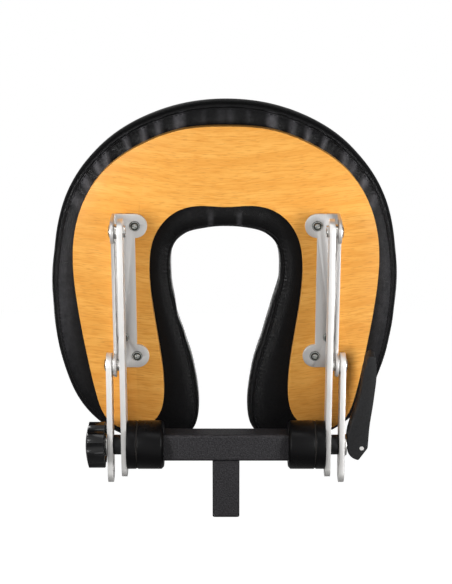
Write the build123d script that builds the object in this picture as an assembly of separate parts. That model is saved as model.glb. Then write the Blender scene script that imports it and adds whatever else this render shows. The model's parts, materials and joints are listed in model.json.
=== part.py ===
from build123d import *
import os
from math import cos, radians, sqrt

# Face cradle for a treatment table, in millimetres, +Z up, with the user's face toward +Y.
# The origin is the middle of the lower end of the square stem. The headrest and its arms are
# drawn about the clamp rod, which lies along X, and are then leaned back about it.

# Stance
lean = 7.7                  # degrees that arms and headrest lean toward -Y
stem_length = 54.0          # from the lower end to the underside of the cross tube

# Square tube of the T-bar
tube_size = 25.0
tube_wall = 2.0
tube_corner = 2.5
tube_bore_corner = 0.5
hub_spacing = 115.0         # clear length of cross tube between the clutch hubs
tube_entry = 16.0           # how far the cross tube goes into each hub
plug_flange = 2.0
plug_depth = 14.0
plug_wall = 2.0
plug_corner = 1.0
plug_break = 0.6

# Clutches
clutch_dia = 45.0
hub_length = 24.5
hub_bevel = 2.2             # bevel of the hub's inner rim
rim_break = 0.6             # small bevels on moulded rims
friction_dia = 43.6
friction_thick = 0.8
disc_thick = 9.0
peg_dia = 4.0
peg_length = 3.5
peg_offset = 13.5           # from the rod axis, along the arm
peg_root = 1.0              # how far each peg starts inside the disc

# Clamp rod and what it carries
rod_dia = 8.0
spacer_dia = 18.5
washer_dia = 20.0
washer_thick = 2.2
cam_gap = 0.3
eye_dia = 10.0              # round end of the rod, about the lever pin

# Arms
arm_thick = 5.0
arm_width = 22.5
long_tail = 31.0            # past the rod axis
short_tail = 36.0
slot_travel = 15.0          # travel of the rod along the slot of a short arm
slot_play = 1.5             # on each side of the rod
pivot_dia = 6.0

# Brackets
leaf_thick = 2.8
leaf_bend = 2.0
strip_width = 20.4          # from the outer face to the line of the ear centres
ear_radius = 11.2
pivot_spacing = 127.0
lower_pivot_height = 76.5   # above the rod axis, along the board
screw_spacing = 125.0
lower_screw_height = 78.5
spacer_gap = 3.3            # between long arm and upright leaf
washer_gap = 1.6            # between upright leaf and short arm
third_screw_rise = 18.2     # above the lower screw
third_screw_edge = 8.2      # from the outer face of the bracket
screw_hole_play = 0.3       # on each side of a wood screw in the bracket

# Pivot hardware
pivot_head_dia = 12.5
pivot_head_height = 2.2
pivot_head_bevel = 1.5
nut_width = 10.0
nut_corner_dia = 11.2       # the six corners are turned down to this
upper_nut_thick = 2.2
lower_nut_thick = 3.0
thread_past_nut = 0.3
upper_washer_dia = 13.0
lower_washer_dia = 18.0

# Wood screws
screw_dia = 4.0
screw_head_dia = 9.0
screw_head_height = 2.6
screw_depth = 7.0
pilot_extra = 0.5           # depth of the pilot hole past the screw

# Board, cushion and hook tape
board_thick = 9.0
board_offset = 27.5         # from the rod axis to the bare face of the board
tape_thick = 2.4
tape_width = 34.0
tape_length = 102.0
tape_top_height = 256.0     # middle of the pad at the closed end, above the rod axis
tape_leg_height = 108.0     # middle of the pads on the legs
tape_leg_side = 98.0        # from the middle plane
tape_corner = 5.1
cushion_thick = 64.0
cushion_face_in = 17.0      # how far the front stands in from the widest line
cushion_shoulder_in = 6.5   # and so a line on its soft edge,
cushion_shoulder_back = 12.0  # this far back from the front
cushion_waist_in = 2.4      # the sides draw in this much
cushion_waist_back = 36.0
cushion_seam_round = 7.0    # from the flat back to the widest line
cushion_seam_in = 5.0
cover_thick = 1.5
foam_gap = 0.3

# Knob
knob_dia = 43.0
knob_depth = 18.5
knob_lobes = 7
knob_scallop = 7.0          # radius of the hollows between lobes
knob_scallop_out = 3.85     # their centres lie this far outside the knob
knob_dome = 70.0            # radius of its outer end
knob_recess_dia = 33.0      # hollow on the side of the arm
knob_recess_depth = 8.0
knob_boss_dia = 22.0        # left standing in the hollow, around the bush
insert_dia = 14.0
insert_length = 13.0

# Cam lever
cam_radius = 12.2
cam_offset = 1.2            # of the cam's centre from the pin, toward the clamp washer
lever_width = 18.0
lever_reach = 90.5          # from pin to tip
lever_tip_out = 6.6         # how far the tip stands outboard of the pin
lever_tip_radius = 4.0
lever_heel_in = 2.6         # where the sloping underside meets the cam, inboard of the pin
lever_heel_out = 5.6        # and where it meets the outer side, outboard of the pin
lever_pin_dia = 4.0

# Clearances
fit = 0.05                  # radial, for a pin or shaft in its hole
free = 0.3                  # between curved faces that move past each other
socket = 0.1                # each side, for a fixed piece in its socket

# Positions that follow from the sizes above
rod_height = stem_length + tube_size / 2
hub_start = hub_spacing / 2
hub_end = hub_start + hub_length
disc_start = hub_end + friction_thick
long_arm_in = disc_start + disc_thick
long_arm_out = long_arm_in + arm_thick
leaf_in = long_arm_out + spacer_gap
leaf_out = leaf_in + leaf_thick
short_arm_in = leaf_out + washer_gap
short_arm_out = short_arm_in + arm_thick
clamp_face = short_arm_out + washer_thick
lever_pin_x = clamp_face + cam_gap + cam_radius + cam_offset
pivot_y = board_offset - strip_width
upper_pivot_height = lower_pivot_height + pivot_spacing
upper_screw_height = lower_screw_height + screw_spacing
cushion_back = board_offset + board_thick + tape_thick
ear_x = leaf_out - strip_width

# Half outlines on the +X side, from the middle of the closed end round to the mouth and back.
# They are given as (sideways, height above the rod axis).
cushion_outline = [
    (0, 313.5), (50, 306), (95, 285.5), (128, 255), (149, 217), (159.5, 166), (160.5, 120),
    (154.5, 74), (141, 33), (121.5, 6), (95, -11), (66, -17), (41, -13), (26, -1), (22.3, 24),
    (26.5, 60), (35, 91), (44, 121), (49.5, 150), (47, 177), (36, 189.5), (18, 194.5), (0, 196),
]
board_outline = [
    (0, 294), (37, 291.5), (75, 278), (108, 255), (131, 219), (139.5, 176), (137.5, 134),
    (130, 82), (121, 36), (112, 14), (93, 3), (76, 6), (63, 19), (58.3, 45), (62, 86),
    (68, 128), (70, 168), (66, 190), (56, 207), (42, 217.5), (24, 221.5), (0, 220.5),
]


# Sides of the lever's handle from the cam up, and from the tip down, as (outboard, height)
# from the pin.
lever_inner_side = [(-13.0, 12), (-9.3, 27), (-5.5, 40), (-1.5, 59), (0.2, 77)]
lever_outer_side = [(11.5, 77), (10.5, 56), (9.1, 42), (6.9, 24)]


def half_curve(points):
    """Smooth curve from the middle plane round half of a horseshoe and back, level at both ends."""
    return Spline(points, tangents=[(1, 0), (-1, 0)], tangent_scalars=[1, 1])


def upright_face(outline, inset, depth):
    """The whole horseshoe as a face across Y at the given depth, drawn in by inset."""
    curve = half_curve(outline)
    moved = []
    for x, z in outline:
        ahead = curve.tangent_at(curve.param_at_point((x, z)))
        moved.append((x + ahead.Y * inset, z - ahead.X * inset))
    half = half_curve(moved)
    flat = make_face([half, mirror(half, about=Plane.YZ)])
    return Pos(0, depth, 0) * (Rot(90, 0, 0) * flat)


def place(shape):
    """Lean a piece about the rod axis and lift it to the height of the rod."""
    return Pos(0, 0, rod_height) * Rot(lean, 0, 0) * shape


def lift(shape):
    """Lift an upright piece of the T-bar to the height of the rod."""
    return Pos(0, 0, rod_height) * shape


def group(shapes):
    """Separate solids that share one node."""
    return Compound([solid for shape in shapes for solid in shape.solids()])


def both(shape):
    """The piece and its mirror image, as one group."""
    return group([shape, mirror(shape, about=Plane.YZ)])


def rod(dia, x0, x1, y=0.0, z=0.0):
    """Round bar along X from x0 to x1."""
    bar = Rot(0, 90, 0) * Cylinder(dia / 2, x1 - x0)
    return Pos((x0 + x1) / 2, y, z) * bar


def square_tube(length):
    """Square tube along Z, centred on the origin."""
    outer = RectangleRounded(tube_size, tube_size, tube_corner)
    bore = tube_size - 2 * tube_wall
    inner = RectangleRounded(bore, bore, tube_bore_corner)
    return Pos(0, 0, -length / 2) * extrude(outer - inner, length)


def make_cross_tube():
    length = hub_spacing + 2 * tube_entry
    return Rot(0, 90, 0) * square_tube(length)


def make_stem_tube():
    length = stem_length - plug_flange
    return Pos(0, 0, plug_flange + length / 2) * square_tube(length)


def make_stem_plug():
    """Flanged plug with a hollow body that grips the inside of the stem."""
    flange = extrude(RectangleRounded(tube_size, tube_size, tube_corner), plug_flange)
    flange = chamfer(flange.faces().sort_by(Axis.Z)[0].edges(), plug_break)
    body = tube_size - 2 * tube_wall - 2 * socket
    hollow = body - 2 * plug_wall
    wall = extrude(RectangleRounded(body, body, plug_corner), plug_flange + plug_depth)
    hollow = Pos(0, 0, plug_flange) * extrude(RectangleRounded(hollow, hollow, plug_corner), plug_depth)
    return flange + wall - hollow


def make_hub():
    """Inner half of the clutch on the +X side, with a square socket for the cross tube."""
    body = rod(clutch_dia, hub_start, hub_end)
    inner_rim = body.faces().sort_by(Axis.X)[0].edges()
    body = chamfer(inner_rim, hub_bevel)
    body = chamfer(body.faces().sort_by(Axis.X)[-1].edges(), rim_break)
    pocket = RectangleRounded(tube_size + 2 * socket, tube_size + 2 * socket, tube_corner)
    pocket = Pos(hub_start, 0, 0) * (Rot(0, 90, 0) * extrude(pocket, tube_entry))
    return body - pocket - rod(rod_dia + 2 * free, hub_start, hub_end)


def make_friction_ring():
    return rod(friction_dia, hub_end, disc_start) - rod(rod_dia + 2 * free, hub_end, disc_start)


def make_disc():
    """Outer half of the clutch on the +X side, keyed to the long arm by two pegs."""
    body = rod(clutch_dia, disc_start, long_arm_in)
    body = chamfer(body.edges().filter_by(GeomType.CIRCLE), rim_break)
    for side in (-1, 1):
        body += rod(peg_dia, long_arm_in - peg_root, long_arm_in + peg_length, 0, side * peg_offset)
    return body - rod(rod_dia + 2 * socket, disc_start, long_arm_in)


def arm_blank(x_in, y0, z0, y1, z1):
    """Flat bar with full round ends, whose end centres are given in the plane across X."""
    ends = [Pos(y, z, 0) * Circle(arm_width / 2) for y, z in ((y0, z0), (y1, z1))]
    run = Vector(y1 - y0, z1 - z0, 0)
    side = Vector(-run.Y, run.X, 0).normalized() * (arm_width / 2)
    start, end = Vector(y0, z0, 0), Vector(y1, z1, 0)
    bar = make_face(Polyline(start + side, end + side, end - side, start - side, close=True))
    face = ends[0] + ends[1] + bar
    plane = Plane(origin=(x_in, 0, 0), x_dir=(0, 1, 0), z_dir=(1, 0, 0))
    return extrude(plane * face, arm_thick)


def along(pivot_z, distance):
    """Point on the line from the pivot through the rod axis, at a distance past the rod."""
    span = Vector(pivot_y, pivot_z, 0)
    past = span.normalized() * -distance
    return past.X, past.Y


def make_long_arm():
    end_y, end_z = along(upper_pivot_height, long_tail - arm_width / 2)
    bar = arm_blank(long_arm_in, end_y, end_z, pivot_y, upper_pivot_height)
    bar -= rod(rod_dia + 2 * socket, long_arm_in, long_arm_out)
    bar -= rod(pivot_dia + 2 * fit, long_arm_in, long_arm_out, pivot_y, upper_pivot_height)
    for side in (-1, 1):
        hole = rod(peg_dia + 2 * socket, long_arm_in, long_arm_out, 0, side * peg_offset)
        bar -= hole
    return bar


def make_short_arm():
    """Outer arm, slotted so that it can slide along the rod as the headrest tilts."""
    end_y, end_z = along(lower_pivot_height, short_tail - arm_width / 2)
    bar = arm_blank(short_arm_in, end_y, end_z, pivot_y, lower_pivot_height)
    bar -= rod(pivot_dia + 2 * fit, short_arm_in, short_arm_out, pivot_y, lower_pivot_height)
    slot_dia = rod_dia + 2 * slot_play
    far_y, far_z = along(lower_pivot_height, slot_travel)
    run = Vector(far_y, far_z, 0)
    side = Vector(-run.Y, run.X, 0).normalized() * (slot_dia / 2)
    start = Vector(0, 0, 0)
    gap = make_face(Polyline(start + side, run + side, run - side, start - side, close=True))
    gap = gap + Circle(slot_dia / 2) + Pos(far_y, far_z) * Circle(slot_dia / 2)
    plane = Plane(origin=(short_arm_in, 0, 0), x_dir=(0, 1, 0), z_dir=(1, 0, 0))
    return bar - extrude(plane * gap, arm_thick)


def dog_bone(width, low, high):
    """Strip with a round ear near each end, drawn with its fold line at zero."""
    mid = (lower_screw_height + upper_screw_height) / 2
    strip = Pos(width / 2, mid) * Rectangle(width, screw_spacing + 2 * ear_radius)
    for z in (low, high):
        strip += Pos(width, z) * Circle(ear_radius)
    waist_mid = (low + high) / 2
    waist_length = high - low - 2 * ear_radius
    return strip - Pos(width + ear_radius, waist_mid) * Rectangle(2 * ear_radius, waist_length)


def make_bracket():
    """Folded angle on the +X side: one leaf on the board, the other carrying the pivots."""
    flat = Plane(origin=(leaf_out, board_offset, 0), x_dir=(-1, 0, 0), z_dir=(0, 1, 0))
    upright = Plane(origin=(leaf_out, board_offset, 0), x_dir=(0, -1, 0), z_dir=(-1, 0, 0))
    screw_leaf = dog_bone(strip_width, lower_screw_height, upper_screw_height)
    pivot_leaf = dog_bone(strip_width, lower_pivot_height, upper_pivot_height)
    base = extrude(flat * screw_leaf, -leaf_thick)
    wall = extrude(upright * pivot_leaf, leaf_thick)
    body = base + wall
    fold = body.edges().filter_by(Axis.Z).group_by(Axis.X)[-1].sort_by(Axis.Y)[-1]
    body = fillet(fold, leaf_bend)
    for z in (lower_pivot_height, upper_pivot_height):
        body -= rod(pivot_dia + 2 * socket, leaf_in, leaf_out, pivot_y, z)
    for x, z in screw_places():
        body -= screw_bar(x, z, screw_dia + 2 * screw_hole_play, board_offset - leaf_thick, board_offset)
    return body


def screw_places():
    third = (leaf_out - third_screw_edge, lower_screw_height + third_screw_rise)
    return [(ear_x, lower_screw_height), (ear_x, upper_screw_height), third]


def screw_bar(x, z, dia, y0, y1):
    """Round bar along Y from y0 to y1."""
    bar = Rot(90, 0, 0) * Cylinder(dia / 2, y1 - y0)
    return Pos(x, (y0 + y1) / 2, z) * bar


def make_screw(x, z):
    """Pan-head wood screw, driven through the bracket into the board."""
    seat = board_offset - leaf_thick
    head = screw_bar(x, z, screw_head_dia, seat - screw_head_height, seat)
    tip = board_offset + screw_depth
    shank = screw_bar(x, z, screw_dia, seat, tip)
    return head + shank


def make_board():
    """Horseshoe of laminated wood with pilot holes for the bracket screws."""
    face = upright_face(board_outline, 0, board_offset)
    board = extrude(face, board_thick, dir=(0, 1, 0))
    for x, z in screw_places():
        for side in (-1, 1):
            far = board_offset + screw_depth + pilot_extra
            board -= screw_bar(side * x, z, screw_dia + 2 * fit, board_offset, far)
    return board


def make_tape():
    """Hook tape between board and cushion: a wide pad at the closed end and one on each leg."""
    start = board_offset + board_thick
    thick = tape_thick
    middle = start + thick / 2
    top = Pos(0, middle, tape_top_height) * Box(tape_length, thick, tape_width)
    leg = Pos(tape_leg_side, middle, tape_leg_height) * Box(tape_width, thick, tape_length)
    pads = [top, leg, mirror(leg, about=Plane.YZ)]
    return group([chamfer(pad.edges().filter_by(Axis.Y), tape_corner) for pad in pads])


def cushion_form(inset):
    """Upholstered ring: flat back, soft edges, drawn in all round by inset."""
    back = cushion_back + inset
    front = cushion_back + cushion_thick - inset
    sections = [
        (cushion_seam_in, back),
        (0, back + cushion_seam_round),
        (cushion_waist_in, front - cushion_waist_back),
        (cushion_shoulder_in, front - cushion_shoulder_back),
        (cushion_face_in, front),
    ]
    faces = [upright_face(cushion_outline, inset + drawn, depth) for drawn, depth in sections]
    return loft(faces, ruled=True)


def pivot_bolt(height, head_face, tip):
    """Round-headed bolt along X at a pivot of the +X side, its head outermost."""
    head = rod(pivot_head_dia, head_face, head_face + pivot_head_height, pivot_y, height)
    head = chamfer(head.faces().sort_by(Axis.X)[-1].edges(), pivot_head_bevel)
    return head + rod(pivot_dia, tip, head_face, pivot_y, height)


def pivot_nut(height, x0, thick):
    """Hexagon nut along X."""
    plane = Plane(origin=(x0, pivot_y, height), x_dir=(0, 1, 0), z_dir=(1, 0, 0))
    across = nut_width / 2 / cos(radians(30))
    body = extrude(plane * RegularPolygon(across, 6), thick)
    body = body & rod(nut_corner_dia, x0, x0 + thick, pivot_y, height)
    return body - rod(pivot_dia + 2 * fit, x0, x0 + thick, pivot_y, height)


def ring_on_pivot(height, dia, x0, x1):
    ring = rod(dia, x0, x1, pivot_y, height)
    return ring - rod(pivot_dia + 2 * socket, x0, x1, pivot_y, height)


def make_spacer():
    tube = rod(spacer_dia, long_arm_out, short_arm_in)
    return tube - rod(rod_dia + 2 * socket, long_arm_out, short_arm_in)


def make_clamp_washer():
    ring = rod(washer_dia, short_arm_out, clamp_face)
    return ring - rod(rod_dia + 2 * socket, short_arm_out, clamp_face)


def make_clamp_rod():
    """Long stud from inside the knob to an eye around the cross pin of the lever."""
    start = -clamp_face - insert_length
    bar = rod(rod_dia, start, lever_pin_x)
    eye = screw_bar(lever_pin_x, 0, eye_dia, -rod_dia / 2, rod_dia / 2)
    return bar + eye - screw_bar(lever_pin_x, 0, lever_pin_dia + 2 * fit, -rod_dia, rod_dia)


def make_lever_pin():
    """Cross pin through the eye of the rod, on which the lever turns."""
    return screw_bar(lever_pin_x, 0, lever_pin_dia, -lever_width / 2, lever_width / 2)


def make_lever():
    """Eccentric cam with a long curved handle, forked around the eye of the rod."""
    tip_z = lever_reach - lever_tip_radius
    tip_left = (lever_tip_out - lever_tip_radius, tip_z)
    tip_right = (lever_tip_out + lever_tip_radius, tip_z)
    cam_left = (-cam_offset - cam_radius, 0)
    cam_low = (-cam_offset - cam_radius * cos(radians(45)), -cam_radius * cos(radians(45)))
    heel_z = -sqrt(cam_radius ** 2 - (lever_heel_in - cam_offset) ** 2)
    heel_in, heel_out = (-lever_heel_in, heel_z), (lever_heel_out, 0)
    outline = [
        Spline([cam_left, *lever_inner_side, tip_left], tangents=[(0, 1), (0.15, 1)]),
        ThreePointArc(tip_left, (lever_tip_out, lever_reach), tip_right),
        Spline([tip_right, *lever_outer_side, heel_out], tangents=[(0.1, -1), (-0.05, -1)]),
        Line(heel_out, heel_in),
        ThreePointArc(heel_in, cam_low, cam_left),
    ]
    plane = Plane(origin=(lever_pin_x, lever_width / 2, 0), x_dir=(1, 0, 0), z_dir=(0, -1, 0))
    handle = extrude(plane * make_face(outline), lever_width)
    fork = 4 * cam_radius
    fork_z = eye_dia / 2 + free - fork / 2
    handle -= Pos(lever_pin_x, 0, fork_z) * Box(fork, rod_dia + 2 * free, fork)
    return handle - screw_bar(lever_pin_x, 0, lever_pin_dia + 2 * fit, -lever_width, lever_width)


def make_knob():
    """Lobed hand knob on the -X side, domed outside and hollow on the side of the arm."""
    disc = Circle(knob_dia / 2)
    step = 360 / knob_lobes
    for i in range(knob_lobes):
        turn = Rot(0, 0, step * (i + 0.5) - 90)
        disc -= turn * (Pos(knob_dia / 2 + knob_scallop_out, 0) * Circle(knob_scallop))
    plane = Plane(origin=(-clamp_face, 0, 0), x_dir=(0, 1, 0), z_dir=(-1, 0, 0))
    body = extrude(plane * disc, knob_depth)
    body = chamfer(body.faces().sort_by(Axis.X)[-1].edges(), rim_break)
    body = body & Pos(-clamp_face - knob_depth + knob_dome, 0, 0) * Sphere(knob_dome)
    recess_end = -clamp_face - knob_recess_depth
    recess = rod(knob_recess_dia, recess_end, -clamp_face)
    body -= recess - rod(knob_boss_dia, recess_end, -clamp_face)
    return body - rod(insert_dia + 2 * socket, -clamp_face - insert_length, -clamp_face)


def make_insert():
    """Threaded bush moulded into the knob."""
    bush = rod(insert_dia, -clamp_face - insert_length, -clamp_face)
    return bush - rod(rod_dia + 2 * fit, -clamp_face - insert_length, -clamp_face)


upper_tip = long_arm_in - upper_nut_thick - thread_past_nut
lower_tip = leaf_in - lower_nut_thick
upper_bolt = pivot_bolt(upper_pivot_height, leaf_out, upper_tip)
lower_bolt = pivot_bolt(lower_pivot_height, short_arm_out, lower_tip)
upper_nut = pivot_nut(upper_pivot_height, long_arm_in - upper_nut_thick, upper_nut_thick)
lower_nut = pivot_nut(lower_pivot_height, lower_tip, lower_nut_thick)
upper_ring = ring_on_pivot(upper_pivot_height, upper_washer_dia, long_arm_out, leaf_in)
lower_ring = ring_on_pivot(lower_pivot_height, lower_washer_dia, leaf_out, short_arm_in)

bracket = make_bracket()
long_arm = make_long_arm()
short_arm = make_short_arm()
hub = make_hub()
disc = make_disc()
screws = group([make_screw(x, z) for x, z in screw_places()])
foam = cushion_form(cover_thick + foam_gap)
cover = cushion_form(0) - cushion_form(cover_thick)

nodes = {
    "cross_tube": lift(make_cross_tube()),
    "stem_tube": make_stem_tube(),
    "stem_end_plug": make_stem_plug(),
    "clutch_hub_right": lift(hub),
    "clutch_hub_left": lift(mirror(hub, about=Plane.YZ)),
    "friction_rings": place(both(make_friction_ring())),
    "clutch_disc_right": place(disc),
    "clutch_disc_left": place(mirror(disc, about=Plane.YZ)),
    "long_arm_right": place(long_arm),
    "long_arm_left": place(mirror(long_arm, about=Plane.YZ)),
    "arm_spacers": place(both(make_spacer())),
    "clamp_washers": place(both(make_clamp_washer())),
    "clamp_rod": place(make_clamp_rod()),
    "lever_pin": place(make_lever_pin()),
    "cam_lever": place(make_lever()),
    "knob": place(make_knob()),
    "knob_insert": place(make_insert()),
    "short_arm_right": place(short_arm),
    "short_arm_left": place(mirror(short_arm, about=Plane.YZ)),
    "bracket_right": place(bracket),
    "bracket_left": place(mirror(bracket, about=Plane.YZ)),
    "bracket_screws": place(both(screws)),
    "upper_pivot_bolts": place(both(upper_bolt)),
    "upper_pivot_nuts": place(both(upper_nut)),
    "upper_pivot_spacers": place(both(upper_ring)),
    "lower_pivot_bolts": place(both(lower_bolt)),
    "lower_pivot_nuts": place(both(lower_nut)),
    "lower_pivot_washers": place(both(lower_ring)),
    "backing_board": place(make_board()),
    "hook_tape": place(make_tape()),
    "cushion_cover": place(cover),
    "cushion_foam": place(foam),
}

os.makedirs("parts", exist_ok=True)
for name, shape in nodes.items():
    export_step(shape, f"parts/{name}.step")
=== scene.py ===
import bpy
import bmesh
import json
import math
from mathutils import Matrix, Vector
from mathutils.bvhtree import BVHTree

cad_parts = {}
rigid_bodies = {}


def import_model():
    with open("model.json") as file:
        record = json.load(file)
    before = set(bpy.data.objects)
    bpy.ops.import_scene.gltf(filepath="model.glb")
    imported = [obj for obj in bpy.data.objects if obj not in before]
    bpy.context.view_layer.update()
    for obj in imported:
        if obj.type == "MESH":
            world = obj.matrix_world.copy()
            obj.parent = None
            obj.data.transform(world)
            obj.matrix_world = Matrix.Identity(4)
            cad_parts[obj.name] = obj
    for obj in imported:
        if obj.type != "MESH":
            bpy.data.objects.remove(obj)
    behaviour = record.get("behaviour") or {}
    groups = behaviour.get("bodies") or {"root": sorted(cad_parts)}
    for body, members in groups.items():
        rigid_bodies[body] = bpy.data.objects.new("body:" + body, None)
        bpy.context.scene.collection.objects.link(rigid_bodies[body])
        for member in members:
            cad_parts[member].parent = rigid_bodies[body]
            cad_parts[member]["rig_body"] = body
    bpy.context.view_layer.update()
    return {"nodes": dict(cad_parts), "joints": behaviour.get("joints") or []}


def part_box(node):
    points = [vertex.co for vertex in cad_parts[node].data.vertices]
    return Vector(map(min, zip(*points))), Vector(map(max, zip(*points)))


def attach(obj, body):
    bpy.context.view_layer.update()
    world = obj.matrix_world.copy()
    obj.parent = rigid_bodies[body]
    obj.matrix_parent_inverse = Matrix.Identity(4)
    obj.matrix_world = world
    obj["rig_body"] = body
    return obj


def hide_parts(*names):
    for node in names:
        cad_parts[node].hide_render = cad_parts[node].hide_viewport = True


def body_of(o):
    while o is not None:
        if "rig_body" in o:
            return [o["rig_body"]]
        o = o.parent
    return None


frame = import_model()
nodes = frame["nodes"]
joints = {joint["name"]: joint for joint in frame["joints"]}
print("frame loaded:", len(nodes), "nodes")

# the headrest is drawn about the clamp rod and leans back about it, as the solids do
rodAxis = Vector(joints["arm_swing"]["pos_m"])
outward = Vector(joints["lever_open"]["axis"])  # from the board towards the cushion
lean = math.atan2(outward.z, outward.y)
drawing = Matrix.Translation(rodAxis) @ Matrix.Rotation(lean, 4, "X")
mm = 0.001


# small helpers for meshes
def newPiece(name, bm, body, materials, place=True):
    # place carries a form from the drawing to where it stands
    if place:
        bm.transform(drawing)
    mesh = bpy.data.meshes.new(name)
    for material in materials:
        mesh.materials.append(material)
    for face in bm.faces:
        face.smooth = True
    bm.to_mesh(mesh)
    bm.free()
    piece = bpy.data.objects.new(name, mesh)
    bpy.context.collection.objects.link(piece)
    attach(piece, body)
    return piece


def smoothThrough(points, count, first=None, final=None):
    # evenly spaced points on a Catmull-Rom curve through the given ones; first and final are
    # the neighbours beyond its ends
    fine = 24
    dense = []
    last = len(points) - 1
    for i in range(last):
        before = points[i - 1] if i > 0 else first or 2 * points[0] - points[1]
        after = points[i + 2] if i + 2 <= last else final or 2 * points[last] - points[last - 1]
        for step in range(fine):
            t = step / fine
            a = 2 * points[i]
            b = (points[i + 1] - before) * t
            c = (2 * before - 5 * points[i] + 4 * points[i + 1] - after) * t * t
            d = (3 * points[i] - before - 3 * points[i + 1] + after) * t * t * t
            dense.append((a + b + c + d) / 2)
    dense.append(points[last].copy())
    lengths = [0.0]
    for i in range(1, len(dense)):
        lengths.append(lengths[-1] + (dense[i] - dense[i - 1]).length)
    found = []
    k = 0
    for i in range(count + 1):
        goal = lengths[-1] * i / count
        while k < len(dense) - 2 and lengths[k + 1] < goal:
            k += 1
        part = (goal - lengths[k]) / max(lengths[k + 1] - lengths[k], 1e-9)
        found.append(dense[k].lerp(dense[k + 1], part))
    return found


def bump(value, centre, width):
    # a smooth hill of height 1
    return math.exp(-((value - centre) / width) ** 2)


def turned(bm, profile, matrix, steps=36):
    # a turned form: radius and height pairs spun about the local Z axis
    corners = [bm.verts.new((radius, 0, height)) for radius, height in profile]
    line = [bm.edges.new(pair) for pair in zip(corners[:-1], corners[1:])]
    bmesh.ops.spin(bm, geom=corners + line, axis=(0, 0, 1), cent=(0, 0, 0), steps=steps,
                   angle=math.tau, use_merge=True)
    around = set(corners)
    todo = list(corners)
    while todo:
        fresh = {vert for edge in todo.pop().link_edges for vert in edge.verts} - around
        around |= fresh
        todo += fresh
    bmesh.ops.remove_doubles(bm, verts=list(around), dist=0.0001)
    around = [vert for vert in around if vert.is_valid]
    bmesh.ops.recalc_face_normals(bm, faces=list({face for vert in around for face in vert.link_faces}))
    bmesh.ops.transform(bm, matrix=matrix, verts=around)


def roundedCopy(name, width, segments=2, choose=None):
    # the node's own form with its sharp edges rounded
    sameSpot, flat, sharp = 0.002 * mm, math.radians(0.5), math.radians(28)
    node = nodes[name]
    bm = bmesh.new()
    bm.from_mesh(node.data)
    bmesh.ops.remove_doubles(bm, verts=bm.verts, dist=sameSpot)
    bmesh.ops.dissolve_limit(bm, angle_limit=flat, verts=bm.verts, edges=bm.edges)
    weight = bm.edges.layers.float.new("bevel_weight_edge")
    for edge in bm.edges:
        if len(edge.link_faces) == 2 and edge.calc_face_angle(0) > sharp:
            if choose is None or choose(edge):
                edge[weight] = 1.0
            else:
                edge.smooth = False
    finish = node.material_slots[0].material
    piece = newPiece(name + "_finished", bm, body_of(node)[0], [finish], place=False)
    soften = piece.modifiers.new("soften", "BEVEL")
    soften.width = width * mm
    soften.segments = segments
    soften.limit_method = "WEIGHT"
    soften.harden_normals = True
    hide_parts(name)
    return piece


# building blocks for shader trees
def addNode(tree, kind, **values):
    node = tree.nodes.new(kind)
    for key, value in values.items():
        setattr(node, key, value)
    return node


def link(tree, source, target):
    tree.links.new(source, target)


def feed(tree, socket, value):
    # another node's output is linked, and a number or colour is set
    if isinstance(value, bpy.types.NodeSocket):
        link(tree, value, socket)
    elif socket.type == "RGBA":
        socket.default_value = (*value, 1)
    else:
        socket.default_value = value


def mathNode(tree, operation, *values, kind="ShaderNodeMath", output=0):
    node = addNode(tree, kind, operation=operation)
    for socket, value in zip(node.inputs, values):
        feed(tree, socket, value)
    return node.outputs[output]


def mapRange(tree, value, fromLow, fromHigh, toLow=0.0, toHigh=1.0):
    node = addNode(tree, "ShaderNodeMapRange")
    titles = ("Value", "From Min", "From Max", "To Min", "To Max")
    for title, part in zip(titles, (value, fromLow, fromHigh, toLow, toHigh)):
        feed(tree, node.inputs[title], part)
    return node.outputs["Result"]


def noise(tree, place, scale, detail=2.0, roughness=0.5, output="Fac"):
    node = addNode(tree, "ShaderNodeTexNoise")
    for title, part in (("Vector", place), ("Scale", scale), ("Detail", detail), ("Roughness", roughness)):
        feed(tree, node.inputs[title], part)
    return node.outputs[output]


def mixed(tree, low, high, share, kind="RGBA"):
    node = addNode(tree, "ShaderNodeMix", data_type=kind)
    for title, part in (("A", low), ("B", high), ("Factor", share)):
        feed(tree, node.inputs[title], part)
    return node.outputs["Result"]


def levels(tree, value, stops):
    # a grey level read off a short table of (place, level)
    node = addNode(tree, "ShaderNodeValToRGB")
    elements = node.color_ramp.elements
    for place, level in stops[1:-1]:
        elements.new(place).color = (level, level, level, 1)
    for element, (place, level) in ((elements[0], stops[0]), (elements[-1], stops[-1])):
        element.position = place
        element.color = (level, level, level, 1)
    link(tree, value, node.inputs["Fac"])
    return node.outputs["Color"]


def axesOf(tree, vector):
    split = addNode(tree, "ShaderNodeSeparateXYZ")
    link(tree, vector, split.inputs["Vector"])
    return split.outputs


def objectPlace(tree):
    return addNode(tree, "ShaderNodeTexCoord").outputs["Object"]


def leaningPlace(tree):
    # object coordinates turned so that Z runs up the leaning board
    turn = addNode(tree, "ShaderNodeMapping")
    turn.inputs["Rotation"].default_value = (-lean, 0, 0)
    link(tree, objectPlace(tree), turn.inputs["Vector"])
    return turn.outputs["Vector"]


# shader node groups shared by several finishes
def newGroup(name, inputs, outputs):
    group = bpy.data.node_groups.new(name, "ShaderNodeTree")
    for title, default in inputs.items():
        socket = group.interface.new_socket(title, in_out="INPUT", socket_type="NodeSocketFloat")
        socket.default_value = default
    for title in outputs:
        group.interface.new_socket(title, in_out="OUTPUT", socket_type="NodeSocketFloat")
    return group, addNode(group, "NodeGroupInput"), addNode(group, "NodeGroupOutput")


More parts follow.
